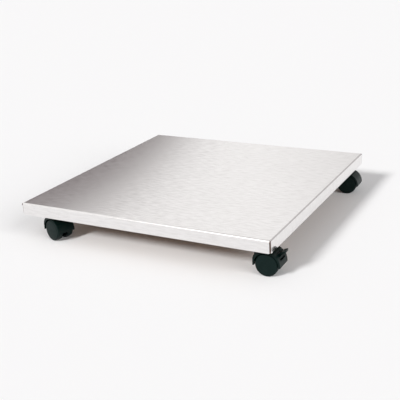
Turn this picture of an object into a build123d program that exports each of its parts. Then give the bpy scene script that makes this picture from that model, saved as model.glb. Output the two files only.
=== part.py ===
from build123d import *
from math import atan2, cos, degrees, radians, sin, sqrt
import os

# Plant caddy: a folded steel cover over a board, carried by four twin-wheel swivel casters.
# All sizes are in millimetres. The origin is on the floor under the middle of the caddy,
# the front edge faces -Y, the right edge faces +X and +Z is up.

# Steel cover: a square sheet with four flanges bent down
cover_side = 500.0
sheet_thickness = 1.2
bend_radius = 3.0            # outside of the bend
corner_seam = 0.4            # gap between two bends at the mitred corner
flange_end_setback = 1.7     # flange ends stop short of the neighbour's outer face
flange_corner_radius = 2.5
relief_radius = 0.8          # notch where the bend ends and the flange end begins
flange_lip = 0.3             # reach of the flange below the board

# Core board inside the cover
board_thickness = 21.0
board_clearance = 0.3        # to the inner face of each flange
board_edge_round = 2.0       # clears the inside of the bend

# Caster layout: swivel axes stand this far in from the cover's sides,
# and each caster trails at its own angle, as it was left standing
swivel_inset = 37.5
casters = {
    "front_right": {"x_side": 1, "y_side": -1, "trail_angle": 1.0, "brake": True},
    "front_left": {"x_side": -1, "y_side": -1, "trail_angle": -19.0, "brake": False},
    "back_right": {"x_side": 1, "y_side": 1, "trail_angle": 2.5, "brake": False},
    "back_left": {"x_side": -1, "y_side": 1, "trail_angle": 181.0, "brake": True},
}

# Wheels
wheel_radius = 20.0
wheel_width = 12.3
wheel_gap = 12.0             # between the inner faces of the two wheels
wheel_edge_round = 2.6       # outer edge of the tread
wheel_inner_chamfer = 0.6
wheel_crown = 0.6            # rise of the outer face towards its middle
wheel_face_wall = 2.2
tread_wall = 2.7
hub_radius = 5.6
rib_count = 6
rib_thickness = 1.4
rib_setback = 1.5            # ribs start this far in from the inner face

# Axle and its snap groove
trail = 20.0                 # swivel axis to axle
axle_radius = 3.0
axle_end_gap = 0.3
axle_end_chamfer = 0.5
groove_depth = 0.45
groove_width = 1.6
groove_inset = 2.2           # from the axle's end to the middle of the groove
bead_height = 0.35           # bead in the wheel's bore that snaps into the groove
bead_width = 1.1

# Hood
well_gap = 1.8               # tread to the inside of the hood
hood_wall = 2.5
hood_drop = 2.0              # lower edge below the axle
hood_side_reach = 0.2        # hood side beyond the wheel's outer face
hood_edge_round = 1.8
shoulder_flat = 7.3          # flat on top between the front shoulder and the crown
web_thickness = 5.0          # plate between the wheels
collar_radius = 7.5
collar_rise = 4.4            # collar above the top of the hood
collar_blend = 2.0
collar_top_chamfer = 0.6

# Kingpin, ring, washer and plate
kingpin_radius = 3.5
kingpin_head_radius = 5.5
kingpin_end_chamfer = 0.6
kingpin_tail = 1.6           # pin below the retaining ring
ring_thickness = 1.0
ring_outer_radius = 4.5
ring_groove_depth = 0.7
ring_bore_wall = 0.9         # socket wall beside the ring
ring_slot = 3.0              # opening of the split ring
socket_length = 21.7         # bearing length of the socket above the ring
washer_thickness = 0.8
washer_outer_radius = 7.0
plate_side = 42.0
plate_thickness = 2.0
plate_corner_radius = 4.0
plate_hole_spacing = 32.0
plate_hole_radius = 2.3

# Plate screws
screw_radius = 1.9
screw_head_radius = 3.7
screw_head_height = 2.4
screw_bite = 13.0            # screw length inside the board
screw_point = 3.5
screw_recess_width = 0.9
screw_recess_length = 4.0
screw_recess_depth = 1.3

# Brake lever: polar places about the axle, in the side view of the caster
lever_pin_reach = 16.0       # axle to lever pin
lever_pin_angle = 46.0
lever_pin_radius = 1.25
lever_hub_radius = 3.2
lug_radius = 3.8
lug_root_angle = 66.0
lug_root_radius = 3.0
lug_root_cover = 0.5         # hood wall left outside the lug's root
shoe_low_angle = 28.0
shoe_high_angle = 50.0
shoe_half_width = 9.7
slot_low_angle = 20.0
slot_high_angle = 53.0
web_window_low_angle = 13.0
web_window_inner_radius = 9.0
tab_half_width = 6.8
tab_tip_forward = 30.0       # tip ahead of the axle
tab_tip_rise = 26.0          # top of the tip above the axle
tab_thickness = 3.6
tab_top_angle = 47.0         # where the tab's top leaves the shoe
tab_top_lead = 3.2           # height at which the tab's top turns outwards
tab_root_slope = 60.0        # slope of the tab's top at the shoe
tab_tip_slope = 14.5
tab_under_angle = 33.0       # where its underside meets the shoe
tab_under_sag = 1.4          # hollow of the underside
tab_corner_radius = 2.4

# Fits and joints
merge_depth = 0.3            # how far features of one moulding run into each other
edge_tolerance = 0.01        # for picking edges by their place
float_gap = 0.3              # between parts that pass each other
running_fit = 0.06           # radial, shaft in bore
push_fit = 0.02              # radial, pin fixed in its hole

# Heights and lengths that follow from the sizes above
axle_height = wheel_radius
well_radius = wheel_radius + well_gap
hood_radius = well_radius + hood_wall
hood_top = axle_height + hood_radius
hood_base = axle_height - hood_drop
collar_top = hood_top + collar_rise
washer_base = collar_top + float_gap
plate_base = washer_base + washer_thickness
plate_top = plate_base + plate_thickness
board_top = plate_top + board_thickness
cover_top = board_top + sheet_thickness
flange_base = plate_top - flange_lip
half_side = cover_side / 2
wheel_inner = wheel_gap / 2
wheel_outer = wheel_inner + wheel_width
hood_half_width = wheel_outer + hood_side_reach
tower_radius = wheel_inner - float_gap
boss_radius = hub_radius
bore_end = wheel_outer - wheel_crown - wheel_face_wall
axle_half_length = bore_end - axle_end_gap
groove_middle = axle_half_length - groove_inset
ring_top = collar_top - socket_length - float_gap
ring_base = ring_top - ring_thickness
kingpin_base = ring_base - kingpin_tail
web_half = web_thickness / 2
blade_half = web_half - float_gap
swivel_place = half_side - swivel_inset


# Helpers

def side_prism(outline, half_width):
    """Solid with the given side view (X across, Z up), centred on the caster's mid-plane."""
    return extrude(Plane.XZ * outline, half_width, both=True)


def turned(points, axis):
    """Solid of revolution from corner points given as (radius, place along the axis)."""
    outline = make_face(Polyline(*points, close=True))
    if axis == Axis.Y:
        return revolve(outline, Axis.Y)
    return revolve(Plane.XZ * outline, Axis.Z)


def cap_arc(rim_radius, rim_place, pole_place):
    """Arc of a domed face, centred on the axis, from its rim to its pole."""
    rise = abs(pole_place - rim_place)
    sphere = (rim_radius ** 2 + rise ** 2) / (2 * rise)
    direction = 1 if pole_place > rim_place else -1
    half_way = pole_place - direction * (sphere - sqrt(sphere ** 2 - rim_radius ** 2 / 4))
    return ThreePointArc((rim_radius, rim_place), (rim_radius / 2, half_way), (0, pole_place))


def disc(radius, low, high, x=0.0, y=0.0):
    """Upright cylinder between two heights."""
    return Pos(x, y, low) * Cylinder(radius, high - low, align=(Align.CENTER, Align.CENTER, Align.MIN))


def cross_disc(radius, half_width, x, z):
    """Cylinder along the axle's direction, centred on the mid-plane."""
    return Pos(x, 0, z) * Rot(X=90) * Cylinder(radius, 2 * half_width)


def about_axle(reach, angle):
    """Point of the side view at a reach and an angle from the axle, the angle from +X to +Z."""
    return (trail + reach * cos(radians(angle)), axle_height + reach * sin(radians(angle)))


def ring_sector(inner, outer, low_angle, high_angle):
    """Side view of a piece of ring about the axle."""
    centre = (trail, axle_height)
    sweep = high_angle - low_angle
    edges = [
        Line(about_axle(inner, low_angle), about_axle(outer, low_angle)),
        CenterArc(centre, outer, low_angle, sweep),
        Line(about_axle(outer, high_angle), about_axle(inner, high_angle)),
        CenterArc(centre, inner, low_angle, sweep),
    ]
    return make_face(edges)


def at_corner(shape, caster):
    """Move a fixed piece to its corner of the caddy, square with the cover."""
    return Pos(caster["x_side"] * swivel_place, caster["y_side"] * swivel_place, 0) * shape


def at_caster(shape, caster):
    """Move a swivelling piece to its corner, turned to the caster's trail angle."""
    return at_corner(Rot(Z=caster["trail_angle"]) * shape, caster)


def save(shape, node):
    """Write one sub-part."""
    export_step(shape, "parts/" + node + ".step")


# Deck

def flange_strip():
    """The bend and flange of the right side, mitred at both ends."""
    bend_x = half_side - bend_radius
    bend_z = cover_top - bend_radius
    inner_radius = bend_radius - sheet_thickness
    inner_x = half_side - sheet_thickness
    edges = [
        CenterArc((bend_x, bend_z), bend_radius, 0, 90),
        Line((bend_x, cover_top), (bend_x, board_top)),
        CenterArc((bend_x, bend_z), inner_radius, 0, 90),
        Line((inner_x, bend_z), (inner_x, flange_base)),
        Line((inner_x, flange_base), (half_side, flange_base)),
        Line((half_side, flange_base), (half_side, bend_z)),
    ]
    strip = extrude(Plane.XZ * make_face(edges), half_side, both=True)

    seam_step = corner_seam / sqrt(2)
    mitre = make_face(Polyline(
        (bend_x, bend_x - seam_step),
        (half_side, half_side - seam_step),
        (half_side, seam_step - half_side),
        (bend_x, seam_step - bend_x),
        close=True,
    ))
    strip = strip & extrude(mitre, cover_top)

    flange_end = half_side - flange_end_setback
    relief_height = bend_z - relief_radius
    flange_side = Plane.YZ * Pos(0, (flange_base + relief_height) / 2) * Rectangle(
        2 * flange_end, relief_height - flange_base)
    flange_side = fillet(flange_side.vertices().group_by(Axis.Z)[0], flange_corner_radius)
    kept_side = extrude(flange_side, half_side)
    upper = Box(half_side, 2 * half_side, cover_top, align=(Align.MIN, Align.CENTER, Align.MIN))
    kept = kept_side + Pos(0, 0, relief_height) * upper
    for end in (-1, 1):
        notch = Pos(0, end * flange_end, relief_height) * Rot(Y=90) * Cylinder(
            relief_radius, 2 * half_side, align=(Align.CENTER, Align.CENTER, Align.MIN))
        kept = kept - notch
    return strip & kept


def steel_cover():
    """Square sheet with a bend and a flange on each side, open at the corners."""
    flat_side = cover_side - 2 * bend_radius
    cover = Pos(0, 0, board_top) * Box(
        flat_side, flat_side, sheet_thickness, align=(Align.CENTER, Align.CENTER, Align.MIN))
    strip = flange_strip()
    for quarter in range(4):
        cover = cover + Rot(Z=90 * quarter) * strip
    return cover


def screw_places():
    """The four hole places of a mounting plate, in the caster's own frame."""
    half = plate_hole_spacing / 2
    return [(x, y) for x in (-half, half) for y in (-half, half)]


def core_board():
    """Board that fills the cover, with a pilot hole for each plate screw."""
    board_side = cover_side - 2 * (sheet_thickness + board_clearance)
    board = Pos(0, 0, plate_top) * Box(
        board_side, board_side, board_thickness, align=(Align.CENTER, Align.CENTER, Align.MIN))
    board = fillet(board.edges().filter_by(Axis.Z), board_edge_round)
    board = fillet(board.faces().sort_by(Axis.Z)[-1].edges(), board_edge_round)
    for caster in casters.values():
        for x, y in screw_places():
            pilot = disc(screw_radius + push_fit, plate_top, plate_top + screw_bite + float_gap, x, y)
            board = board - at_corner(pilot, caster)
    return board


def mounting_plate():
    """Steel plate with four screw holes and a countersunk hole for the kingpin."""
    outline = RectangleRounded(plate_side, plate_side, plate_corner_radius)
    for x, y in screw_places():
        outline = outline - Pos(x, y) * Circle(plate_hole_radius)
    plate = Pos(0, 0, plate_base) * extrude(outline, plate_thickness)
    return plate - kingpin_blank(push_fit)


def kingpin_blank(allowance):
    """The head and shaft of the kingpin, grown by an allowance all round."""
    shaft = kingpin_radius + allowance
    head = kingpin_head_radius + allowance
    cone = kingpin_head_radius - kingpin_radius
    return turned([
        (0, kingpin_base),
        (shaft - kingpin_end_chamfer, kingpin_base),
        (shaft, kingpin_base + kingpin_end_chamfer),
        (shaft, plate_top - cone),
        (head, plate_top),
        (0, plate_top),
    ], Axis.Z)


def kingpin():
    """Countersunk pin with a groove for the retaining ring."""
    groove = disc(kingpin_radius + merge_depth, ring_base, ring_top) - disc(
        kingpin_radius - ring_groove_depth, ring_base, ring_top)
    return kingpin_blank(0) - groove


def retaining_ring():
    """Split ring that sits in the kingpin's groove, under the socket."""
    inner = kingpin_radius - ring_groove_depth + push_fit
    ring = disc(ring_outer_radius, ring_base + push_fit, ring_top - push_fit)
    ring = ring - disc(inner, ring_base, ring_top)
    opening = Pos(-ring_outer_radius, 0, ring_base) * Box(
        2 * ring_outer_radius, ring_slot, ring_thickness, align=(Align.CENTER, Align.CENTER, Align.MIN))
    return ring - opening


def swivel_washer():
    """Flat washer between the plate and the hood's collar."""
    return disc(washer_outer_radius, washer_base, plate_base) - disc(
        kingpin_radius + running_fit, washer_base, plate_base)


def plate_screws():
    """Four pan-head wood screws."""
    head_base = plate_base - screw_head_height
    edges = [
        Line((0, head_base), (0, plate_top + screw_bite)),
        Line((0, plate_top + screw_bite), (screw_radius, plate_top + screw_bite - screw_point)),
        Line((screw_radius, plate_top + screw_bite - screw_point), (screw_radius, plate_base)),
        Line((screw_radius, plate_base), (screw_head_radius, plate_base)),
        cap_arc(screw_head_radius, plate_base, head_base),
    ]
    screw = revolve(Plane.XZ * make_face(edges), Axis.Z)
    arm = Box(screw_recess_length, screw_recess_width, 2 * screw_recess_depth)
    cross = Pos(0, 0, head_base) * (arm + Rot(Z=90) * arm)
    screw = screw - cross
    return Compound([Pos(x, y, 0) * screw for x, y in screw_places()])


# Wheels and axle

def wheel():
    """Moulded wheel on the +Y side: a tread, a crowned face, a hub and ribs behind the face."""
    face_edge = wheel_outer - wheel_crown
    face_back = face_edge - wheel_face_wall
    edge_centre_r = wheel_radius - wheel_edge_round
    edge_centre_y = face_edge - wheel_edge_round
    bore = axle_radius + running_fit
    bead = axle_radius - bead_height
    bead_low = groove_middle - bead_width / 2
    bead_high = groove_middle + bead_width / 2
    tread_inside = wheel_radius - tread_wall
    edges = [
        Line((bore, wheel_inner), (hub_radius, wheel_inner)),
        Line((hub_radius, wheel_inner), (hub_radius, face_back)),
        Line((hub_radius, face_back), (tread_inside, face_back)),
        Line((tread_inside, face_back), (tread_inside, wheel_inner)),
        Line((tread_inside, wheel_inner), (wheel_radius - wheel_inner_chamfer, wheel_inner)),
        Line((wheel_radius - wheel_inner_chamfer, wheel_inner),
             (wheel_radius, wheel_inner + wheel_inner_chamfer)),
        Line((wheel_radius, wheel_inner + wheel_inner_chamfer), (wheel_radius, edge_centre_y)),
        CenterArc((edge_centre_r, edge_centre_y), wheel_edge_round, 0, 90),
        cap_arc(edge_centre_r, face_edge, wheel_outer),
        Line((0, wheel_outer), (0, bore_end)),
        Line((0, bore_end), (bore, bore_end)),
        Line((bore, bore_end), (bore, bead_high)),
        Line((bore, bead_high), (bead, bead_high)),
        Line((bead, bead_high), (bead, bead_low)),
        Line((bead, bead_low), (bore, bead_low)),
        Line((bore, bead_low), (bore, wheel_inner)),
    ]
    body = revolve(make_face(edges), Axis.Y)
    rib_low = wheel_inner + rib_setback
    rib_length = tread_inside - hub_radius + 2 * merge_depth
    rib = Pos(hub_radius - merge_depth, rib_low, 0) * Box(
        rib_length, face_back - rib_low, rib_thickness, align=(Align.MIN, Align.MIN, Align.CENTER))
    for index in range(rib_count):
        body = body + Rot(Y=360 * index / rib_count) * rib
    return Pos(trail, 0, axle_height) * body


def axle():
    """Straight pin with a snap groove near each end."""
    pin = turned([
        (0, -axle_half_length),
        (axle_radius - axle_end_chamfer, -axle_half_length),
        (axle_radius, axle_end_chamfer - axle_half_length),
        (axle_radius, axle_half_length - axle_end_chamfer),
        (axle_radius - axle_end_chamfer, axle_half_length),
        (0, axle_half_length),
    ], Axis.Y)
    for end in (-1, 1):
        middle = end * groove_middle
        low = middle - groove_width / 2
        high = middle + groove_width / 2
        root = axle_radius - groove_depth
        rim = axle_radius + merge_depth
        pin = pin - turned([(root, low), (rim, low), (rim, high), (root, high)], Axis.Y)
    return Pos(trail, 0, axle_height) * pin


# Hood

def hood_outline():
    """Side view of the hood: upright front, round shoulder, flat crown and a round back."""
    front = trail - hood_radius
    shoulder = hood_radius - shoulder_flat
    shoulder_centre = (front + shoulder, hood_top - shoulder)
    drop_angle = degrees(atan2(hood_drop, sqrt(hood_radius ** 2 - hood_drop ** 2)))
    back = CenterArc((trail, axle_height), hood_radius, -drop_angle, 90 + drop_angle)
    edges = [
        Line((front, hood_base), (front, hood_top - shoulder)),
        CenterArc(shoulder_centre, shoulder, 90, 90),
        Line((front + shoulder, hood_top), (trail, hood_top)),
        back,
        Line(back @ 0, (front, hood_base)),
    ]
    return make_face(edges)


def hood_shell():
    """The moulded fender with its collar, before the wheel wells are cut."""
    shell = side_prism(hood_outline(), hood_half_width)
    side_edges = ShapeList()
    for side in (0, -1):
        face = shell.faces().sort_by(Axis.Y)[side]
        side_edges += [edge for edge in face.edges() if edge.center().Z > hood_base + edge_tolerance]
    shell = fillet(side_edges, hood_edge_round)
    shell = shell + disc(collar_radius, hood_base, collar_top)
    joint = [
        edge for edge in shell.edges()
        if on_collar(edge) and hood_base + edge_tolerance < edge.center().Z < hood_top
    ]
    shell = fillet(joint, collar_blend)
    rim = [
        edge for edge in shell.edges()
        if on_collar(edge) and edge.center().Z > collar_top - edge_tolerance
    ]
    return chamfer(rim, collar_top_chamfer)


def on_collar(edge):
    """True for an edge that lies on the collar's wall."""
    return all(
        abs(sqrt(point.X ** 2 + point.Y ** 2) - collar_radius) < edge_tolerance
        for point in (edge @ 0, edge @ 0.37, edge @ 0.71, edge @ 1)
    )


def wheel_wells():
    """The two round spaces for the wheels, one on each side of the web."""
    depth = hood_half_width - web_half + merge_depth
    wells = []
    for side in (-1, 1):
        middle = side * (web_half + depth / 2)
        wells.append(Pos(trail, middle, axle_height) * Rot(X=90) * Cylinder(well_radius, depth))
    return wells


def hood(brake):
    """Hood with its web, axle boss and kingpin socket; a braked one has a slot and lugs as well."""
    body = hood_shell()
    for well in wheel_wells():
        body = body - well
    body = body + disc(tower_radius, hood_base, hood_top - hood_wall)
    body = body + cross_disc(boss_radius, tower_radius, trail, axle_height)
    if brake:
        body = add_brake_seat(body)
    body = body - disc(kingpin_radius + running_fit, hood_base, collar_top)
    body = body - disc(tower_radius - ring_bore_wall, hood_base, ring_top + float_gap)
    return body - cross_disc(axle_radius + push_fit, hood_half_width, trail, axle_height)


def add_brake_seat(body):
    """Cut the slot and the window for the brake lever, and add the two lugs that hold its pin."""
    window = ring_sector(web_window_inner_radius, well_radius, web_window_low_angle, lug_root_angle)
    body = body - side_prism(window, web_half)
    slot = ring_sector(well_radius - merge_depth, hood_radius + merge_depth, slot_low_angle, slot_high_angle)
    body = body - side_prism(slot, shoe_half_width + float_gap)
    pin_x, pin_z = about_axle(lever_pin_reach, lever_pin_angle)
    root_x, root_z = about_axle(hood_radius - lug_root_radius - lug_root_cover, lug_root_angle)
    lug_face = make_hull([
        Pos(pin_x, pin_z) * Circle(lug_radius).edge(),
        Pos(root_x, root_z) * Circle(lug_root_radius).edge(),
    ])
    lugs = side_prism(lug_face, tower_radius) - side_prism(lug_face, web_half)
    body = body + lugs
    return body - cross_disc(lever_pin_radius + push_fit, tower_radius, pin_x, pin_z)


# Brake lever

def lever_pin():
    """Plain pin through the lugs and the lever."""
    pin_x, pin_z = about_axle(lever_pin_reach, lever_pin_angle)
    return cross_disc(lever_pin_radius, tower_radius, pin_x, pin_z)


def lever_tab():
    """The raised foot tab, rounded at its corners."""
    tip_x = trail + tab_tip_forward
    tip_z = axle_height + tab_tip_rise
    root_reach = hood_radius - 2 * merge_depth
    top_root = about_axle(root_reach, tab_top_angle)
    under_root = about_axle(root_reach, tab_under_angle)
    top_lead = about_axle(hood_radius + tab_top_lead, tab_top_angle)
    slopes = [
        (cos(radians(slope)), sin(radians(slope)))
        for slope in (tab_root_slope, tab_tip_slope)
    ]
    edges = [
        Line(under_root, top_root),
        Spline(top_root, top_lead, (tip_x, tip_z), tangents=slopes),
        Line((tip_x, tip_z), (tip_x, tip_z - tab_thickness)),
        SagittaArc((tip_x, tip_z - tab_thickness), under_root, -tab_under_sag),
    ]
    tab = side_prism(make_face(edges), tab_half_width)
    tip_edges = [
        edge for edge in tab.edges()
        if edge.center().X > tip_x - edge_tolerance and abs(edge.center().Y) > tab_half_width - edge_tolerance
    ]
    return fillet(tip_edges, tab_corner_radius)


def brake_lever():
    """Lever with a hub on the pin, a blade through the web's window, a shoe and a foot tab."""
    pin_x, pin_z = about_axle(lever_pin_reach, lever_pin_angle)
    shoe = side_prism(ring_sector(well_radius, hood_radius, shoe_low_angle, shoe_high_angle), shoe_half_width)
    blade_reach = well_radius + 2 * merge_depth
    blade_face = make_hull([
        Pos(pin_x, pin_z) * Circle(lever_hub_radius).edge(),
        Line(about_axle(blade_reach, shoe_low_angle), about_axle(blade_reach, shoe_high_angle)),
    ])
    lever = shoe + side_prism(blade_face, blade_half) + lever_tab()
    return lever - cross_disc(lever_pin_radius + running_fit, shoe_half_width, pin_x, pin_z)


# Build

def main():
    os.makedirs("parts", exist_ok=True)
    save(steel_cover(), "steel_cover")
    save(core_board(), "core_board")
    fixed_pieces = {
        "mounting_plate": mounting_plate(),
        "plate_screws": plate_screws(),
        "kingpin": kingpin(),
        "retaining_ring": retaining_ring(),
        "swivel_washer": swivel_washer(),
    }
    wheel_2 = wheel()
    wheel_1 = Pos(trail, 0, 0) * Rot(Z=180) * Pos(-trail, 0, 0) * wheel_2
    swivel_pieces = {"axle": axle(), "wheel_1": wheel_1, "wheel_2": wheel_2}
    hoods = {True: hood(True), False: hood(False)}
    brake_pieces = {"brake_lever": brake_lever(), "lever_pin": lever_pin()}
    for corner, caster in casters.items():
        turning = dict(swivel_pieces, hood=hoods[caster["brake"]])
        if caster["brake"]:
            turning.update(brake_pieces)
        for name, shape in fixed_pieces.items():
            save(at_corner(shape, caster), corner + "_" + name)
        for name, shape in turning.items():
            save(at_caster(shape, caster), corner + "_" + name)


main()
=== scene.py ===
"""Looks of the plant caddy: its finishes, the cover remade in Blender and the studio round it."""

import logging
from collections.abc import Callable
from dataclasses import dataclass
from enum import Enum
from math import atan2, cos, pi, radians, sin, sqrt

import bpy
from mathutils import Matrix, Vector


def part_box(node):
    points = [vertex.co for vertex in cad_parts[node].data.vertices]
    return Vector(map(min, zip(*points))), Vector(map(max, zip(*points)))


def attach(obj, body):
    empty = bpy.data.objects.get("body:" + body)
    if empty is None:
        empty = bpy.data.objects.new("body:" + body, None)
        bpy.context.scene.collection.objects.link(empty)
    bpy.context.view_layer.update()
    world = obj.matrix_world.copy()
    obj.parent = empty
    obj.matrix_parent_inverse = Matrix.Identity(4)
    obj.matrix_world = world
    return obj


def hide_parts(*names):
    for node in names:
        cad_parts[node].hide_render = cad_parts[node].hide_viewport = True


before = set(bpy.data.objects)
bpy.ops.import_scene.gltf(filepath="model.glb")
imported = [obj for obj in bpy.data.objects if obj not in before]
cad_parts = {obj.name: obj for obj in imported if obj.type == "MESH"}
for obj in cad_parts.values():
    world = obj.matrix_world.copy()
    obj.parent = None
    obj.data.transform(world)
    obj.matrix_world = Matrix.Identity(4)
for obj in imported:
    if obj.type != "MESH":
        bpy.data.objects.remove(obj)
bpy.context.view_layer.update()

log = logging.getLogger("plant_caddy")

PHOTO_WIDTH_PX = 400
SENSOR_WIDTH_MM = 36.0
MERGE_DISTANCE = 1e-6
NEAR = 1e-5
ABOUT_ORIGIN = {"orient_type": "GLOBAL", "center_override": (0, 0, 0)}

Colour = tuple[float, float, float]
Direction = tuple[float, float, float]
Place = tuple[float, float, float]
Density = tuple[float, float, float]
Span = tuple[float, float]


class Coordinates(Enum):
    """What a finish's pattern follows."""

    OBJECT = "Object"
    SHEET = "sheet"


# Shader trees


class Graph:
    """Adds and joins the nodes of one shader tree."""

    def __init__(self, tree: bpy.types.NodeTree) -> None:
        """Starts from an emptied tree.

        Args:
            tree: The node tree of a material, a world or a group.
        """
        self.tree = tree
        tree.nodes.clear()

    def add(self, kind: str, **settings: object) -> bpy.types.Node:
        """Adds a node and sets its properties.

        Args:
            kind: The node's Blender type.
            **settings: Property names and values.

        Returns:
            The new node.
        """
        node = self.tree.nodes.new(kind)
        for name, value in settings.items():
            setattr(node, name, value)
        return node

    def feed(self, target: bpy.types.NodeSocket, value: object) -> None:
        """Joins a socket to the target, or sets the target's own value.

        Args:
            target: An input socket.
            value: An output socket, a number, a colour or a vector.
        """
        if isinstance(value, bpy.types.NodeSocket):
            self.tree.links.new(value, target)
        elif isinstance(value, tuple) and target.type == "RGBA":
            target.default_value = (*value, 1.0)
        else:
            target.default_value = value

    def math(self, operation: str, first: object, second: object = 0.0) -> bpy.types.NodeSocket:
        """Adds a Math node.

        Args:
            operation: The node's operation.
            first: Its first input.
            second: Its second input.

        Returns:
            The result's socket.
        """
        node = self.add("ShaderNodeMath", operation=operation)
        self.feed(node.inputs[0], first)
        self.feed(node.inputs[1], second)
        return node.outputs[0]

    def add_up(
        self, first: object, share: float, second: object, second_share: float
    ) -> bpy.types.NodeSocket:
        """Adds two patterns by their shares.

        Args:
            first: The first pattern.
            share: The first pattern's share.
            second: The second pattern.
            second_share: The second pattern's share.

        Returns:
            The sum's socket.
        """
        part = self.math("MULTIPLY", first, share)
        return self.math("ADD", part, self.math("MULTIPLY", second, second_share))

    def spread(
        self, value: object, low: float, high: float, start: float = 0.0, end: float = 1.0
    ) -> bpy.types.NodeSocket:
        """Adds a smooth Map Range node.

        Args:
            value: The input.
            low: Where the range starts.
            high: Where the range ends.
            start: The result at low.
            end: The result at high.

        Returns:
            The result's socket.
        """
        node = self.add("ShaderNodeMapRange", interpolation_type="SMOOTHSTEP")
        for socket, item in zip(node.inputs, (value, low, high, start, end)):
            self.feed(socket, item)
        return node.outputs[0]

    def noise(
        self, vector: object, scale: Density, detail: float = 2.0, roughness: float = 0.5
    ) -> bpy.types.NodeSocket:
        """Adds a Noise Texture that is stretched by a Mapping node.

        Args:
            vector: Where the pattern is read.
            scale: Waves per metre along each axis.
            detail: The number of octaves.
            roughness: How strong the fine octaves are.

        Returns:
            The pattern's socket, from 0 to 1.
        """
        mapping = self.add("ShaderNodeMapping")
        self.feed(mapping.inputs["Vector"], vector)
        self.feed(mapping.inputs["Scale"], Vector(scale))
        node = self.add("ShaderNodeTexNoise")
        self.feed(node.inputs["Vector"], mapping.outputs["Vector"])
        self.feed(node.inputs["Scale"], 1.0)
        self.feed(node.inputs["Detail"], detail)
        self.feed(node.inputs["Roughness"], roughness)
        return node.outputs["Fac"]

    def blend(self, factor: object, first: object, second: object) -> bpy.types.NodeSocket:
        """Adds a colour mix.

        Args:
            factor: 0 for the first colour and 1 for the second.
            first: A colour.
            second: A colour.

        Returns:
            The mixed colour's socket.
        """
        node = self.add("ShaderNodeMix", data_type="RGBA")
        self.feed(node.inputs["Factor"], factor)
        self.feed(node.inputs[6], first)
        self.feed(node.inputs[7], second)
        return node.outputs[2]


def new_group(
    name: str, inputs: dict[str, str], outputs: dict[str, str]
) -> tuple[Graph, bpy.types.Node, bpy.types.Node]:
    """Starts a shader node group with named sockets.

    Args:
        name: The group's name.
        inputs: Socket names and types.
        outputs: Socket names and types.

    Returns:
        The group's graph, its input node and its output node.
    """
    tree = bpy.data.node_groups.new(name, "ShaderNodeTree")
    for in_out, sockets in (("INPUT", inputs), ("OUTPUT", outputs)):
        for socket, kind in sockets.items():
            tree.interface.new_socket(name=socket, in_out=in_out, socket_type=kind)
    graph = Graph(tree)
    return graph, graph.add("NodeGroupInput"), graph.add("NodeGroupOutput")


WEAR_SAMPLES = 6
WEAR_TURN = (0.99, 0.75)
WEAR_DETAIL = 3.0
WEAR_PATCHES = (0.4, 0.62)
GRAIN_DETAIL = {"Lines": 3.0, "Mottle": 2.0}
DUST_DETAIL = 4.0
DUST_UPWARD = (-0.3, 1.0, 0.15, 1.0)
DUST_SPECKS = (0.45, 0.75)


@dataclass(frozen=True)
class Effects:
    """The node groups that several finishes share."""

    edge_wear: bpy.types.NodeTree
    grain: bpy.types.NodeTree
    dust: bpy.types.NodeTree

    @classmethod
    def build(cls) -> "Effects":
        """Builds each group once."""
        return cls(make_edge_wear(), make_grain(), make_dust())


def make_edge_wear() -> bpy.types.NodeTree:
    """Makes a mask of the outer edges, where handling rubs a finish.

    Returns:
        The node group.
    """
    graph, given, result = new_group(
        "edge_wear",
        {"Radius": "NodeSocketFloat", "Vector": "NodeSocketVector", "Patches": "NodeSocketFloat"},
        {"Mask": "NodeSocketFloat"},
    )
    bevel = graph.add("ShaderNodeBevel", samples=WEAR_SAMPLES)
    graph.feed(bevel.inputs["Radius"], given.outputs["Radius"])
    geometry = graph.add("ShaderNodeNewGeometry")
    dot = graph.add("ShaderNodeVectorMath", operation="DOT_PRODUCT")
    graph.feed(dot.inputs[0], bevel.outputs["Normal"])
    graph.feed(dot.inputs[1], geometry.outputs["Normal"])
    turned = graph.spread(dot.outputs["Value"], *WEAR_TURN)
    noise = graph.add("ShaderNodeTexNoise")
    graph.feed(noise.inputs["Vector"], given.outputs["Vector"])
    graph.feed(noise.inputs["Scale"], given.outputs["Patches"])
    graph.feed(noise.inputs["Detail"], WEAR_DETAIL)
    patches = graph.spread(noise.outputs["Fac"], *WEAR_PATCHES)
    graph.feed(result.inputs["Mask"], graph.math("MULTIPLY", turned, patches))
    return graph.tree


def make_grain() -> bpy.types.NodeTree:
    """Makes long fine lines along the first axis, with a soft mottle under them.

    Returns:
        The node group.
    """
    graph, given, result = new_group(
        "grain",
        {"Vector": "NodeSocketVector", "Lines": "NodeSocketVector", "Mottle": "NodeSocketVector"},
        {"Lines": "NodeSocketFloat", "Mottle": "NodeSocketFloat"},
    )
    for name, detail in GRAIN_DETAIL.items():
        scaled = graph.add("ShaderNodeVectorMath", operation="MULTIPLY")
        graph.feed(scaled.inputs[0], given.outputs["Vector"])
        graph.feed(scaled.inputs[1], given.outputs[name])
        noise = graph.add("ShaderNodeTexNoise")
        graph.feed(noise.inputs["Vector"], scaled.outputs["Vector"])
        graph.feed(noise.inputs["Scale"], 1.0)
        graph.feed(noise.inputs["Detail"], detail)
        graph.feed(result.inputs[name], noise.outputs["Fac"])
    return graph.tree


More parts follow.
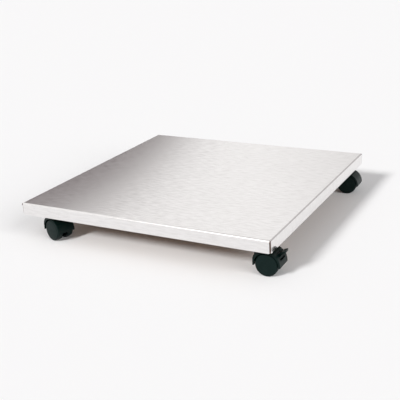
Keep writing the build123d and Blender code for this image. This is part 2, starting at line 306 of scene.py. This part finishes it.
def make_dust() -> bpy.types.NodeTree:
    """Makes a mask of fine dust, thickest on faces that look up.

    Returns:
        The node group.
    """
    graph, given, result = new_group(
        "dust",
        {"Vector": "NodeSocketVector", "Specks": "NodeSocketFloat", "Amount": "NodeSocketFloat"},
        {"Mask": "NodeSocketFloat"},
    )
    noise = graph.add("ShaderNodeTexNoise")
    graph.feed(noise.inputs["Vector"], given.outputs["Vector"])
    graph.feed(noise.inputs["Scale"], given.outputs["Specks"])
    graph.feed(noise.inputs["Detail"], DUST_DETAIL)
    geometry = graph.add("ShaderNodeNewGeometry")
    split = graph.add("ShaderNodeSeparateXYZ")
    graph.feed(split.inputs[0], geometry.outputs["Normal"])
    upward = graph.spread(split.outputs["Z"], *DUST_UPWARD)
    specks = graph.spread(noise.outputs["Fac"], *DUST_SPECKS)
    amount = graph.math("MULTIPLY", specks, given.outputs["Amount"])
    graph.feed(result.inputs["Mask"], graph.math("MULTIPLY", amount, upward))
    return graph.tree


# Finishes


@dataclass(frozen=True)
class Finish:
    """What every finish has: a name and a shader whose fixed values are on its own sockets."""

    name: str
    metallic: float = 0.0
    specular: float = 0.5

    def start(self) -> tuple[bpy.types.Material, Graph, bpy.types.Node]:
        """Starts the material.

        Returns:
            The material, its graph and its Principled BSDF.
        """
        material = bpy.data.materials.new(self.name)
        material.use_nodes = True
        graph = Graph(material.node_tree)
        output = graph.add("ShaderNodeOutputMaterial")
        shader = graph.add("ShaderNodeBsdfPrincipled")
        graph.feed(output.inputs["Surface"], shader.outputs["BSDF"])
        shader.inputs["Metallic"].default_value = self.metallic
        shader.inputs["Specular IOR Level"].default_value = self.specular
        return material, graph, shader

    def coordinates(self, graph: Graph, follow: Coordinates) -> bpy.types.NodeSocket:
        """Adds the coordinates that the pattern reads.

        Args:
            graph: The material's graph.
            follow: Object coordinates, or the unfolded sheet's own.

        Returns:
            The coordinates' socket.
        """
        if follow is Coordinates.SHEET:
            return graph.add("ShaderNodeUVMap", uv_map=follow.value).outputs["UV"]
        return graph.add("ShaderNodeTexCoord").outputs[follow.value]

    def use(self, graph: Graph, group: bpy.types.NodeTree, **values: object) -> bpy.types.Node:
        """Places a shared effect in the material.

        Args:
            graph: The material's graph.
            group: The effect's node group.
            **values: The effect's inputs.

        Returns:
            The group node.
        """
        node = graph.add("ShaderNodeGroup")
        node.node_tree = group
        for socket, value in values.items():
            graph.feed(node.inputs[socket], value)
        return node

    def bump(self, graph: Graph, shader: bpy.types.Node, height: object, rise: float) -> None:
        """Feeds a height to the shader's normal.

        Args:
            graph: The material's graph.
            shader: The Principled BSDF.
            height: The height's socket, from 0 to 1.
            rise: The height in metres at 1.
        """
        node = graph.add("ShaderNodeBump")
        node.inputs["Distance"].default_value = rise
        graph.feed(node.inputs["Height"], height)
        graph.feed(shader.inputs["Normal"], node.outputs["Normal"])


@dataclass(frozen=True)
class BrushedSheet(Finish):
    """Satin stainless sheet, brushed along the front edge before it was folded, with painted shade
    on the flange ends at the corner seams.
    """

    metallic: float = 1.0
    light: Colour = (0.89, 0.876, 0.87)
    deep: Colour = (0.80, 0.784, 0.776)
    tone_span: Span = (0.34, 0.6)
    roughness: float = 0.15
    rougher: float = 0.035
    smoother: float = 0.03
    rough_span: Span = (0.25, 0.75)
    anisotropy: float = 0.5
    brushing_turn: float = 0.25
    line_density: float = 2600.0
    line_stretch: float = 45.0
    line_share: float = 0.4
    line_height: float = 0.35
    mottle_density: float = 300.0
    mottle_stretch: float = 6.0
    mottle_share: float = 0.6
    streak_share: float = 0.88
    cloud_density: Density = (9, 14, 1)
    cloud_detail: float = 3.0
    cloud_share: float = 0.12
    rise: float = 0.000003
    # Painted shade: the flange ends near the corners are darkened to stand in for the shade in the
    # corner seams.
    painted_seam_shade_colour: Colour = (0.16, 0.11, 0.10)
    painted_seam_shade_from: float = 0.24775
    painted_seam_shade_blur: float = 0.0004

    def material(self, effects: Effects) -> bpy.types.Material:
        """Builds the material.

        Args:
            effects: The shared node groups.

        Returns:
            The material.
        """
        material, graph, shader = self.start()
        place = self.coordinates(graph, Coordinates.SHEET)
        grain = self.use(
            graph, effects.grain, Vector=place,
            Lines=Vector((self.line_density / self.line_stretch, self.line_density, 1)),
            Mottle=Vector((self.mottle_density / self.mottle_stretch, self.mottle_density, 1)),
        )
        lines, mottle = grain.outputs["Lines"], grain.outputs["Mottle"]
        cloud = graph.noise(place, self.cloud_density, self.cloud_detail)
        streaks = graph.add_up(lines, self.line_share, mottle, self.mottle_share)
        tone = graph.add_up(streaks, self.streak_share, cloud, self.cloud_share)
        sheet = graph.blend(graph.spread(tone, *self.tone_span), self.deep, self.light)
        # The base colour carries painted shade at the flange ends, standing in for the corner seams'
        # shade.
        graph.feed(
            shader.inputs["Base Color"], graph.blend(self.painted_seam_shade_mask(graph), sheet, self.painted_seam_shade_colour))
        rough = graph.spread(
            mottle, *self.rough_span, self.roughness + self.rougher, self.roughness - self.smoother)
        graph.feed(shader.inputs["Roughness"], rough)
        shader.inputs["Anisotropic"].default_value = self.anisotropy
        shader.inputs["Anisotropic Rotation"].default_value = self.brushing_turn
        tangent = graph.add(
            "ShaderNodeTangent", direction_type="UV_MAP", uv_map=Coordinates.SHEET.value)
        graph.feed(shader.inputs["Tangent"], tangent.outputs["Tangent"])
        height = graph.math("ADD", graph.math("MULTIPLY", lines, self.line_height), mottle)
        self.bump(graph, shader, height, self.rise)
        return material

    def painted_seam_shade_mask(self, graph: Graph) -> bpy.types.NodeSocket:
        """Adds the mask of the flange ends, which get painted shade so that the corner seams show
        dark, as the shade in their gaps would.

        Args:
            graph: The material's graph.

        Returns:
            The mask's socket.
        """
        split = graph.add("ShaderNodeSeparateXYZ")
        graph.feed(split.inputs[0], self.coordinates(graph, Coordinates.OBJECT))
        ends = [graph.math("ABSOLUTE", split.outputs[axis]) for axis in "XY"]
        nearer = graph.math("MINIMUM", *ends)
        return graph.spread(nearer, self.painted_seam_shade_from, self.painted_seam_shade_from + self.painted_seam_shade_blur)


@dataclass(frozen=True)
class MouldedPlastic(Finish):
    """Black moulded plastic with a fine spark-eroded texture."""

    specular: float = 0.13
    colour: Colour = (0.0012, 0.0075, 0.0066)
    rubbed: Colour = (0.0045, 0.0125, 0.0115)
    roughness: float = 0.33
    rougher: float = 0.05
    smoother: float = 0.03
    texture_density: float = 2200.0
    flow_density: float = 70.0
    flow_span: Span = (0.3, 0.7)
    flow_share: float = 0.35
    wear_radius: float = 0.0005
    wear_patches: float = 160.0
    wear_share: float = 0.7
    rise: float = 0.000005
    dust_colour: Colour = (0.30, 0.29, 0.28)
    dust_specks: float = 900.0
    dust_amount: float = 0.25
    dust_tint: float = 0.05
    dust_roughness: float = 0.2

    def material(self, effects: Effects) -> bpy.types.Material:
        """Builds the material.

        Args:
            effects: The shared node groups.

        Returns:
            The material.
        """
        material, graph, shader = self.start()
        place = self.coordinates(graph, Coordinates.OBJECT)
        fine = graph.noise(place, (self.texture_density,) * 3)
        flow = graph.noise(place, (self.flow_density,) * 3)
        worn = self.use(
            graph, effects.edge_wear,
            Radius=self.wear_radius, Vector=place, Patches=self.wear_patches,
        ).outputs["Mask"]
        dust = self.use(
            graph, effects.dust, Vector=place, Specks=self.dust_specks, Amount=self.dust_amount,
        ).outputs["Mask"]
        mottled = graph.spread(flow, *self.flow_span, 0.0, self.flow_share)
        body = graph.blend(mottled, self.colour, self.rubbed)
        rubbed = graph.blend(graph.math("MULTIPLY", worn, self.wear_share), body, self.rubbed)
        dusty = graph.blend(graph.math("MULTIPLY", dust, self.dust_tint), rubbed, self.dust_colour)
        graph.feed(shader.inputs["Base Color"], dusty)
        rough = graph.spread(
            flow, *self.flow_span, self.roughness - self.smoother, self.roughness + self.rougher)
        dulled = graph.math("MULTIPLY", dust, self.dust_roughness)
        graph.feed(shader.inputs["Roughness"], graph.math("ADD", rough, dulled))
        self.bump(graph, shader, fine, self.rise)
        return material


@dataclass(frozen=True)
class FibreBoard(Finish):
    """Pressed wood fibre board, with darker fibres and a dry surface."""

    specular: float = 0.25
    light: Colour = (0.33, 0.215, 0.14)
    deep: Colour = (0.20, 0.12, 0.075)
    tone_span: Span = (0.35, 0.65)
    fibre_density: Density = (420, 900, 900)
    fibre_detail: float = 4.0
    fibre_roughness: float = 0.65
    fibre_share: float = 0.65
    fleck_colour: Colour = (0.10, 0.058, 0.036)
    fleck_density: Density = (1500, 700, 1500)
    fleck_span: Span = (0.62, 0.74)
    fleck_share: float = 0.5
    cloud_density: Density = (18, 18, 18)
    cloud_detail: float = 3.0
    cloud_share: float = 0.35
    rough_span: Span = (0.3, 0.7)
    rough_limits: Span = (0.72, 0.88)
    rise: float = 0.00005

    def material(self, effects: Effects) -> bpy.types.Material:
        """Builds the material.

        Args:
            effects: The shared node groups; not used here.

        Returns:
            The material.
        """
        material, graph, shader = self.start()
        place = self.coordinates(graph, Coordinates.OBJECT)
        fibres = graph.noise(place, self.fibre_density, self.fibre_detail, self.fibre_roughness)
        flecks = graph.noise(place, self.fleck_density)
        cloud = graph.noise(place, self.cloud_density, self.cloud_detail)
        tone = graph.add_up(fibres, self.fibre_share, cloud, self.cloud_share)
        board = graph.blend(graph.spread(tone, *self.tone_span), self.deep, self.light)
        dark = graph.spread(flecks, *self.fleck_span, 0.0, self.fleck_share)
        graph.feed(shader.inputs["Base Color"], graph.blend(dark, board, self.fleck_colour))
        rough = graph.spread(fibres, *self.rough_span, *self.rough_limits)
        graph.feed(shader.inputs["Roughness"], rough)
        self.bump(graph, shader, fibres, self.rise)
        return material


@dataclass(frozen=True)
class ZincPlate(Finish):
    """Bright zinc plating with the faint bands of its passivation."""

    metallic: float = 1.0
    cool: Colour = (0.60, 0.63, 0.67)
    warm: Colour = (0.66, 0.63, 0.56)
    rubbed: Colour = (0.72, 0.72, 0.73)
    band_density: Density = (60, 60, 60)
    band_span: Span = (0.38, 0.62)
    pit_density: Density = (1400, 1400, 1400)
    pit_span: Span = (0.3, 0.7)
    detail: float = 3.0
    wear_radius: float = 0.0004
    wear_patches: float = 240.0
    roughness: float = 0.33
    rougher: float = 0.08
    smoother: float = 0.05
    rise: float = 0.000004

    def material(self, effects: Effects) -> bpy.types.Material:
        """Builds the material.

        Args:
            effects: The shared node groups.

        Returns:
            The material.
        """
        material, graph, shader = self.start()
        place = self.coordinates(graph, Coordinates.OBJECT)
        bands = graph.noise(place, self.band_density, self.detail)
        pits = graph.noise(place, self.pit_density, self.detail)
        worn = self.use(
            graph, effects.edge_wear,
            Radius=self.wear_radius, Vector=place, Patches=self.wear_patches,
        ).outputs["Mask"]
        plating = graph.blend(graph.spread(bands, *self.band_span), self.cool, self.warm)
        graph.feed(shader.inputs["Base Color"], graph.blend(worn, plating, self.rubbed))
        rough = graph.spread(
            pits, *self.pit_span, self.roughness - self.smoother, self.roughness + self.rougher)
        graph.feed(shader.inputs["Roughness"], rough)
        self.bump(graph, shader, pits, self.rise)
        return material


@dataclass(frozen=True)
class Nylon(Finish):
    """Natural nylon of the washers, slightly cloudy."""

    specular: float = 0.4
    colour: Colour = (0.74, 0.71, 0.64)
    deep: Colour = (0.62, 0.59, 0.52)
    cloud_density: Density = (220, 220, 220)
    cloud_detail: float = 3.0
    cloud_span: Span = (0.35, 0.65)
    rough_limits: Span = (0.42, 0.5)
    rise: float = 0.000008
    dust_colour: Colour = (0.4, 0.38, 0.35)
    dust_specks: float = 1200.0
    dust_amount: float = 0.5
    dust_tint: float = 0.3

    def material(self, effects: Effects) -> bpy.types.Material:
        """Builds the material.

        Args:
            effects: The shared node groups.

        Returns:
            The material.
        """
        material, graph, shader = self.start()
        place = self.coordinates(graph, Coordinates.OBJECT)
        cloud = graph.noise(place, self.cloud_density, self.cloud_detail)
        dust = self.use(
            graph, effects.dust, Vector=place, Specks=self.dust_specks, Amount=self.dust_amount,
        ).outputs["Mask"]
        nylon = graph.blend(graph.spread(cloud, *self.cloud_span), self.deep, self.colour)
        dusty = graph.blend(graph.math("MULTIPLY", dust, self.dust_tint), nylon, self.dust_colour)
        graph.feed(shader.inputs["Base Color"], dusty)
        rough = graph.spread(cloud, *self.cloud_span, *self.rough_limits)
        graph.feed(shader.inputs["Roughness"], rough)
        self.bump(graph, shader, cloud, self.rise)
        return material


# Modelling by hand


def deselect_all() -> None:
    """Deselects every object."""
    for obj in bpy.context.selected_objects:
        obj.select_set(False)


def select_only(obj: bpy.types.Object) -> None:
    """Deselects everything, then selects one object and makes it active.

    Args:
        obj: The object to work on.
    """
    deselect_all()
    obj.select_set(True)
    bpy.context.view_layer.objects.active = obj


def new_primitive(kind: str, name: str, **settings: object) -> bpy.types.Object:
    """Starts a piece from a primitive at the origin.

    Args:
        kind: The primitive's name in bpy.ops.mesh.
        name: The object's name.
        **settings: The primitive's sizes.

    Returns:
        The new object, selected and active.
    """
    deselect_all()
    getattr(bpy.ops.mesh, f"primitive_{kind}_add")(**settings)
    obj = bpy.context.object
    obj.name = name
    return obj


def copy_piece(obj: bpy.types.Object, name: str) -> bpy.types.Object:
    """Copies an object with a mesh of its own.

    Args:
        obj: The object to copy.
        name: The copy's name.

    Returns:
        The copy.
    """
    copy = obj.copy()
    copy.data = obj.data.copy()
    copy.name = name
    bpy.context.scene.collection.objects.link(copy)
    return copy


def cut(obj: bpy.types.Object, tool: bpy.types.Object) -> None:
    """Cuts a tool's shape out of an object and removes the tool.

    Args:
        obj: The object that is cut.
        tool: The shape that is taken away.
    """
    apply_modifier(obj, "BOOLEAN", object=tool, operation="DIFFERENCE", solver="EXACT")
    bpy.data.objects.remove(tool)


def pick_faces(obj: bpy.types.Object, test: Callable[[Vector], bool]) -> None:
    """Selects, in edit mode, the faces whose points all pass a test.

    Args:
        obj: The object in edit mode.
        test: A function of a point that is true where it is wanted.
    """
    bpy.ops.mesh.select_mode(type="FACE")
    bpy.ops.mesh.select_all(action="DESELECT")
    bpy.ops.object.mode_set(mode="OBJECT")
    mesh = obj.data
    wanted = [bool(test(v.co)) for v in mesh.vertices]
    for face in mesh.polygons:
        face.select = all(wanted[i] for i in face.vertices)
    bpy.ops.object.mode_set(mode="EDIT")


def apply_modifier(obj: bpy.types.Object, kind: str, **settings: object) -> None:
    """Adds a modifier and applies it.

    Args:
        obj: The object.
        kind: The modifier's type.
        **settings: Property names and values.
    """
    select_only(obj)
    modifier = obj.modifiers.new(kind.title(), kind)
    for name, value in settings.items():
        setattr(modifier, name, value)
    bpy.ops.object.modifier_apply(modifier=modifier.name)


@dataclass
class FoldedCover:
    """The stainless cover: a square sheet folded down on four sides.

    Its bends are mitred and have relief notches at their ends.
    """

    gauge: float = 0.0012
    bend_radius: float = 0.003
    bend_steps: int = 12
    corner_seam: float = 0.0004
    end_setback: float = 0.0017
    corner_radius: float = 0.0025
    relief_radius: float = 0.0008
    edge_break: float = 0.0001
    edge_steps: int = 2
    sharp_angle: float = radians(50)
    smooth_angle: float = radians(30)
    tool_size: float = 0.05
    tool_reach: float = 0.01
    drill_length: float = 0.08
    drill_sides: int = 48

    def __post_init__(self) -> None:
        """Takes the outer sizes from the CAD node."""
        low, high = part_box("steel_cover")
        self.half = high.x
        self.top = high.z
        self.base = low.z
        self.flat = self.half - self.bend_radius
        self.bend_height = self.top - self.bend_radius
        self.mitre = self.corner_seam / sqrt(2)

    def make_side(self) -> bpy.types.Object:
        """Models the bend and the flange of the right side.

        Returns:
            The side, open where it meets the flat.
        """
        side = new_primitive("plane", "side", size=1.0)
        bpy.ops.object.mode_set(mode="EDIT")
        bpy.ops.mesh.select_all(action="SELECT")
        bpy.ops.transform.rotate(value=pi / 2, orient_axis="Y", **ABOUT_ORIGIN)
        bpy.ops.transform.resize(value=(1, 2 * self.half, self.gauge), **ABOUT_ORIGIN)
        bpy.ops.transform.translate(value=(self.flat, 0, self.top - self.gauge / 2))
        bpy.ops.mesh.spin(
            steps=self.bend_steps, angle=pi / 2,
            center=(self.flat, 0, self.bend_height), axis=(0, -1, 0))
        drop = (0, 0, self.base - self.bend_height)
        bpy.ops.mesh.extrude_region_move(TRANSFORM_OT_translate={"value": drop})
        bpy.ops.mesh.select_mode(type="EDGE")
        bpy.ops.mesh.select_all(action="DESELECT")
        bpy.ops.mesh.select_non_manifold()
        bpy.ops.mesh.edge_face_add()
        bpy.ops.mesh.select_all(action="SELECT")
        bpy.ops.mesh.normals_make_consistent(inside=False)
        for end in (-1, 1):
            bpy.ops.mesh.select_all(action="SELECT")
            bpy.ops.mesh.bisect(
                plane_co=(self.flat, end * (self.flat - self.mitre), 0), plane_no=(-1, end, 0),
                clear_outer=True, use_fill=True, threshold=MERGE_DISTANCE)
        bpy.ops.object.mode_set(mode="OBJECT")
        self.trim_ends(side)
        return side

    def trim_ends(self, side: bpy.types.Object) -> None:
        """Cuts the flange's ends back, with a relief notch at the bend and a rounded lower corner.

        Args:
            side: The side that is being modelled.
        """
        end_line = self.half - self.end_setback
        relief = self.bend_height - self.relief_radius
        round_y, round_z = end_line - self.corner_radius, self.base + self.corner_radius
        size, reach = self.tool_size, self.tool_reach
        for end in (-1, 1):
            block = new_primitive("cube", "block", size=1.0)
            block.scale = (size, reach, size)
            block.location = (self.half, end * (end_line + reach / 2), relief - size / 2)
            cut(side, block)
            cut(side, self.make_drill("relief", end * end_line, relief, self.relief_radius))
            corner = new_primitive("cube", "corner", size=1.0)
            corner.scale = (size, reach, reach)
            corner.location = (self.half, end * (round_y + reach / 2), round_z - reach / 2)
            bpy.ops.object.transform_apply(location=True, rotation=True, scale=True)
            cut(corner, self.make_drill("rounding", end * round_y, round_z, self.corner_radius))
            cut(side, corner)
        select_only(side)
        bpy.ops.object.mode_set(mode="EDIT")
        bpy.ops.mesh.select_all(action="SELECT")
        bpy.ops.mesh.remove_doubles(threshold=MERGE_DISTANCE)
        self.break_edges(side, relief)
        bpy.ops.object.mode_set(mode="OBJECT")

    def make_drill(
        self, name: str, along: float, height: float, radius: float
    ) -> bpy.types.Object:
        """Makes a round tool that lies across the flange.

        Args:
            name: The tool's name.
            along: Its place along the flange.
            height: Its height.
            radius: Its radius.

        Returns:
            The tool.
        """
        drill = new_primitive(
            "cylinder", name, radius=radius, depth=self.drill_length, vertices=self.drill_sides)
        drill.rotation_euler = (0, pi / 2, 0)
        drill.location = (self.half, along, height)
        bpy.ops.object.transform_apply(location=True, rotation=True, scale=True)
        return drill

    def break_edges(self, side: bpy.types.Object, below: float) -> None:
        """Takes the sharpness off the flange's rims.

        Args:
            side: The side, in edit mode.
            below: The height under which the rims are broken.
        """
        bpy.ops.mesh.select_mode(type="EDGE")
        bpy.ops.mesh.select_all(action="DESELECT")
        bpy.ops.mesh.edges_select_sharp(sharpness=self.sharp_angle)
        bpy.ops.object.mode_set(mode="OBJECT")
        heights = [v.co.z for v in side.data.vertices]
        for edge in side.data.edges:
            edge.select = edge.select and all(heights[i] < below - NEAR for i in edge.vertices)
        bpy.ops.object.mode_set(mode="EDIT")
        bpy.ops.mesh.bevel(
            offset=self.edge_break, segments=self.edge_steps, affect="EDGES", clamp_overlap=True)

    def make_flat(self) -> bpy.types.Object:
        """Models the flat, open where the sides meet it.

        Returns:
            The flat.
        """
        flat = new_primitive("cube", "flat", size=1.0)
        bpy.ops.object.mode_set(mode="EDIT")
        bpy.ops.mesh.select_all(action="SELECT")
        bpy.ops.transform.resize(
            value=(2 * self.flat, 2 * self.flat, self.gauge), **ABOUT_ORIGIN)
        bpy.ops.transform.translate(value=(0, 0, self.top - self.gauge / 2))
        reach = self.flat - self.mitre
        for plane in ((1, 0, 0), (-1, 0, 0), (0, 1, 0), (0, -1, 0)):
            bpy.ops.mesh.select_all(action="SELECT")
            bpy.ops.mesh.bisect(
                plane_co=Vector(plane) * reach, plane_no=plane, threshold=MERGE_DISTANCE)
        for axis, other in ((0, 1), (1, 0)):
            for end in (-1, 1):
                pick_faces(
                    flat,
                    lambda p: abs(p[axis] * end - self.flat) < NEAR and abs(p[other]) < reach + NEAR)
                bpy.ops.mesh.delete(type="ONLY_FACE")
        bpy.ops.object.mode_set(mode="OBJECT")
        return flat

    def unfold(self, obj: bpy.types.Object) -> None:
        """Maps the sheet as it was before it was folded, in metres.

        Args:
            obj: The folded sheet.
        """
        mesh = obj.data
        places = mesh.uv_layers.new(name=Coordinates.SHEET.value).data
        for face in mesh.polygons:
            centre = face.center
            axis = 0 if abs(centre.x) > abs(centre.y) else 1
            for loop, index in zip(face.loop_indices, face.vertices):
                point = mesh.vertices[index].co
                place = [point.x, point.y]
                if abs(centre[axis]) > self.flat:
                    out = abs(point[axis]) - self.flat
                    above = point.z - self.bend_height
                    bent = atan2(out, above) if above > 0 else pi / 2
                    length = self.bend_radius * bent + max(0.0, -above)
                    place[axis] = (self.flat + length) * (1 if centre[axis] > 0 else -1)
                places[loop].uv = place

    def build(self) -> bpy.types.Object:
        """Models the folded sheet.

        Returns:
            The finished piece, with its place in its mesh.
        """
        side = self.make_side()
        sides = [side] + [copy_piece(side, f"side_{turn}") for turn in range(3)]
        for turn, piece in enumerate(sides):
            select_only(piece)
            bpy.ops.object.mode_set(mode="EDIT")
            pick_faces(piece, lambda p: abs(p.x - self.flat) < NEAR)
            bpy.ops.mesh.delete(type="ONLY_FACE")
            bpy.ops.mesh.select_all(action="SELECT")
            bpy.ops.transform.rotate(value=-turn * pi / 2, orient_axis="Z", **ABOUT_ORIGIN)
            bpy.ops.object.mode_set(mode="OBJECT")
        cover = self.make_flat()
        select_only(cover)
        for piece in sides:
            piece.select_set(True)
        bpy.ops.object.join()
        cover.name = "folded_cover"
        bpy.ops.object.mode_set(mode="EDIT")
        bpy.ops.mesh.select_all(action="SELECT")
        bpy.ops.mesh.remove_doubles(threshold=MERGE_DISTANCE)
        bpy.ops.mesh.normals_make_consistent(inside=False)
        bpy.ops.object.mode_set(mode="OBJECT")
        self.unfold(cover)
        bpy.ops.object.shade_smooth_by_angle(angle=self.smooth_angle)
        apply_modifier(cover, "WEIGHTED_NORMAL", keep_sharp=True)
        return cover


# Studio


@dataclass(frozen=True)
class PhotoCamera:
    """The camera of the photograph, solved from the corners of the cover."""

    place: Place = (0.6811, -1.2608, 0.5490)
    yaw: float = radians(28.67)
    pitch: float = radians(20.09)
    roll: float = -0.0526
    focal_px: float = 759.9

    def build(self) -> bpy.types.Object:
        """Makes the camera and gives it to the scene.

        Returns:
            The camera's object.
        """
        ahead = Vector((
            -sin(self.yaw) * cos(self.pitch), cos(self.yaw) * cos(self.pitch), -sin(self.pitch)))
        level = Vector((cos(self.yaw), sin(self.yaw), 0.0))
        upright = level.cross(ahead)
        across = level * cos(self.roll) + upright * sin(self.roll)
        above = upright * cos(self.roll) - level * sin(self.roll)
        camera = bpy.data.objects.new("photo_camera", bpy.data.cameras.new("photo_camera"))
        bpy.context.scene.collection.objects.link(camera)
        turn = Matrix((across, above, -ahead)).transposed().to_4x4()
        camera.matrix_world = Matrix.Translation(self.place) @ turn
        camera.data.sensor_width = SENSOR_WIDTH_MM
        camera.data.lens = self.focal_px * SENSOR_WIDTH_MM / PHOTO_WIDTH_PX
        bpy.context.scene.camera = camera
        return camera


@dataclass(frozen=True)
class Patch:
    """A round patch of the surround: where it lies, its radius, half its edge, and its value.

    The radius and the edge are in degrees.
    """

    towards: Direction
    reach: float
    soft: float
    depth: float


@dataclass(frozen=True)
class Studio:
    """A pale floor, two soft lamps and a surround.

    The lamps are hidden from reflections. These see white paper with three darker patches, and a
    glow in place of the key lamp.
    """

    lamp_towards: Direction = (-0.27, -0.79, 0.55)
    lamp_strength: float = 2.75
    lamp_angle: float = radians(12)
    fill_towards: Direction = (0.80, -0.30, 0.42)
    fill_strength: float = 1.8
    fill_angle: float = radians(40)
    surround: float = 0.32
    surround_tint: Colour = (1.0, 0.975, 0.99)
    floor_half: float = 15.0
    floor_colour: Colour = (0.90, 0.90, 0.90)
    white: float = 0.955
    paper: Colour = (1.0, 0.99, 0.985)
    dark: Colour = (0.12, 0.09, 0.095)
    dark_patches: tuple[Patch, ...] = (
        Patch((-0.738, 0.669, -0.0616), 25.6, 1.6, 0.97),
        Patch((-0.25, 0.60, 0.76), 17.0, 5.0, 0.55),
        Patch((0.50, 0.86, 0.02), 44.0, 14.0, 0.5),
    )
    glow: Patch = Patch((-0.27, -0.79, 0.55), 14.0, 6.0, 2.0)

    def build_lamp(self, name: str, towards: Direction, strength: float, angle: float) -> None:
        """Makes a soft lamp far away, which reflections don't show.

        Args:
            name: The lamp's name.
            towards: The direction in which the lamp lies.
            strength: Its strength.
            angle: How wide it is seen.
        """
        lamp = bpy.data.lights.new(name, "SUN")
        lamp.energy = strength
        lamp.angle = angle
        obj = bpy.data.objects.new(name, lamp)
        bpy.context.scene.collection.objects.link(obj)
        obj.rotation_mode = "QUATERNION"
        obj.rotation_quaternion = Vector(towards).to_track_quat("Z", "Y")
        obj.visible_glossy = False

    def build_floor(self) -> bpy.types.Object:
        """Makes the floor, which can't be seen from below.

        Returns:
            The floor's object.
        """
        floor = new_primitive("plane", "studio_floor", size=2 * self.floor_half)
        material = bpy.data.materials.new("studio_floor")
        material.use_nodes = True
        graph = Graph(material.node_tree)
        output = graph.add("ShaderNodeOutputMaterial")
        paper = graph.add("ShaderNodeBsdfDiffuse")
        graph.feed(paper.inputs["Color"], self.floor_colour)
        clear = graph.add("ShaderNodeBsdfTransparent")
        side = graph.add("ShaderNodeNewGeometry")
        mix = graph.add("ShaderNodeMixShader")
        graph.feed(mix.inputs[0], side.outputs["Backfacing"])
        graph.feed(mix.inputs[1], paper.outputs["BSDF"])
        graph.feed(mix.inputs[2], clear.outputs["BSDF"])
        graph.feed(output.inputs["Surface"], mix.outputs["Shader"])
        floor.data.materials.append(material)
        return floor

    def build_world(self) -> None:
        """Makes the surround: even light, white for the camera, and what reflections see."""
        world = bpy.data.worlds.new("studio_surround")
        world.use_nodes = True
        world.cycles.sampling_method = "NONE"
        bpy.context.scene.world = world
        graph = Graph(world.node_tree)
        output = graph.add("ShaderNodeOutputWorld")
        direction = graph.add("ShaderNodeTexCoord").outputs["Generated"]
        rays = graph.add("ShaderNodeLightPath")
        mirrored = graph.math(
            "MAXIMUM", rays.outputs["Is Glossy Ray"], rays.outputs["Is Transmission Ray"])
        darkest = 0.0
        for patch in self.dark_patches:
            darkest = graph.math("MAXIMUM", darkest, self.add_patch(graph, direction, patch))
        seen = graph.add("ShaderNodeBackground")
        graph.feed(seen.inputs["Color"], graph.blend(darkest, self.paper, self.dark))
        glow = self.add_patch(graph, direction, self.glow)
        graph.feed(seen.inputs["Strength"], graph.math("ADD", glow, 1.0))
        even = graph.add("ShaderNodeBackground")
        graph.feed(even.inputs["Color"], self.surround_tint)
        even.inputs["Strength"].default_value = self.surround
        behind = graph.add("ShaderNodeBackground")
        graph.feed(behind.inputs["Color"], (self.white,) * 3)
        inner = graph.add("ShaderNodeMixShader")
        graph.feed(inner.inputs[0], mirrored)
        graph.feed(inner.inputs[1], even.outputs["Background"])
        graph.feed(inner.inputs[2], seen.outputs["Background"])
        outer = graph.add("ShaderNodeMixShader")
        graph.feed(outer.inputs[0], rays.outputs["Is Camera Ray"])
        graph.feed(outer.inputs[1], inner.outputs["Shader"])
        graph.feed(outer.inputs[2], behind.outputs["Background"])
        graph.feed(output.inputs["Surface"], outer.outputs["Shader"])

    def add_patch(self, graph: Graph, direction: object, patch: Patch) -> bpy.types.NodeSocket:
        """Adds a round patch of the surround.

        Args:
            graph: The world's graph.
            direction: The direction's socket.
            patch: The patch.

        Returns:
            The patch's socket, 0 outside.
        """
        dot = graph.add("ShaderNodeVectorMath", operation="DOT_PRODUCT")
        graph.feed(dot.inputs[0], direction)
        graph.feed(dot.inputs[1], Vector(patch.towards).normalized())
        outer = cos(radians(patch.reach + patch.soft))
        inner = cos(radians(patch.reach - patch.soft))
        return graph.spread(dot.outputs["Value"], outer, inner, 0.0, patch.depth)

    def build(self) -> None:
        """Builds the floor, the lamps and the surround."""
        self.build_floor()
        self.build_lamp("key_lamp", self.lamp_towards, self.lamp_strength, self.lamp_angle)
        self.build_lamp("fill_lamp", self.fill_towards, self.fill_strength, self.fill_angle)
        self.build_world()


# The caddy


@dataclass
class Dresser:
    """Gives each CAD node its finish."""

    effects: Effects
    wheel_roughness: float = 0.42

    def __post_init__(self) -> None:
        """Builds one material for each of the record's slots."""
        self.finishes = {
            "board": FibreBoard("board_fibre").material(self.effects),
            "hood_plastic": MouldedPlastic("hood_black").material(self.effects),
            "wheel_plastic": MouldedPlastic(
                "wheel_black", roughness=self.wheel_roughness).material(self.effects),
            "washer_plastic": Nylon("washer_nylon").material(self.effects),
            "zinc_steel": ZincPlate("zinc_plating").material(self.effects),
            "stainless_cover": BrushedSheet("brushed_stainless").material(self.effects),
        }

    def dress(self) -> None:
        """Assigns each carried-over node the finish of the slot it came with."""
        for name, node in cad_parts.items():
            slot = node.data.materials[0].name.split(".")[0]
            node.data.materials[0] = self.finishes[slot]
            log.info("%s: %s", name, slot)


def main() -> None:
    """Builds the caddy's looks and its studio."""
    logging.basicConfig(level=logging.INFO, format="%(message)s")
    scene = bpy.context.scene
    scene.view_settings.view_transform = "Standard"
    dresser = Dresser(Effects.build())
    dresser.dress()
    cover = FoldedCover().build()
    cover.data.materials.append(dresser.finishes["stainless_cover"])
    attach(cover, "deck")
    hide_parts("steel_cover")
    log.info("%s: %s", cover.name, "stainless_cover")
    Studio().build()
    PhotoCamera().build()


if __name__ == "__main__":
    main()
